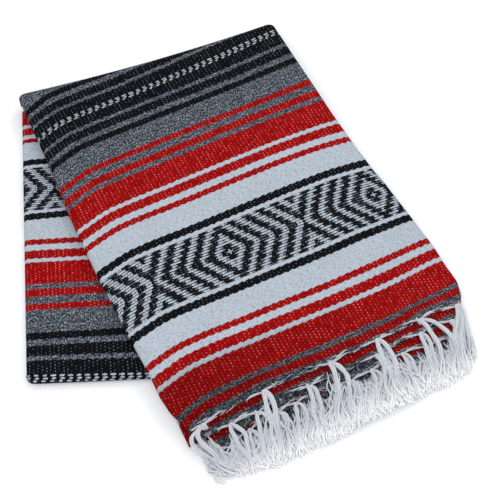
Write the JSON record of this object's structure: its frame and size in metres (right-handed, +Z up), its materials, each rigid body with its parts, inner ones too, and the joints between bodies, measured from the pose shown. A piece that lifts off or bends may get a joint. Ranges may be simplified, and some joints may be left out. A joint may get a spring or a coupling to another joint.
{
  "type": "folded mexican serape blanket",
  "caption": "Woven striped serape with a diamond band, folded many times over and laid flat, with loose knotted fringe along its hems.",
  "frame": {"origin": "centre of the bounding box at the surface that the folded serape lies on", "axes": "+Z up from that surface; +Y along the lower stack's left edge towards the top fold; +X to the right across the folded stack"},
  "size_m": [0.4478, 0.5502, 0.0282],
  "materials": {
    "hidden_layers": "woven, matte",
    "lower_cloth": "woven, matte",
    "upper_cloth": "woven, matte",
    "hem_layer_2": "woven, matte",
    "hem_layer_3": "woven, matte",
    "hem_layer_4": "woven, matte",
    "fringe_1": "loose cotton yarn, matte",
    "fringe_2": "loose cotton yarn, matte",
    "fringe_3": "loose cotton yarn, matte",
    "fringe_4": "loose cotton yarn, matte"
  },
  "bodies": {
    "root": {"hidden_layers": "hidden_layers", "lower_cloth": "lower_cloth", "upper_cloth": "upper_cloth", "hem_layer_2": "hem_layer_2", "hem_layer_3": "hem_layer_3", "hem_layer_4": "hem_layer_4", "fringe_1": "fringe_1", "fringe_2": "fringe_2", "fringe_3": "fringe_3", "fringe_4": "fringe_4"}
  },
  "joints": []
}
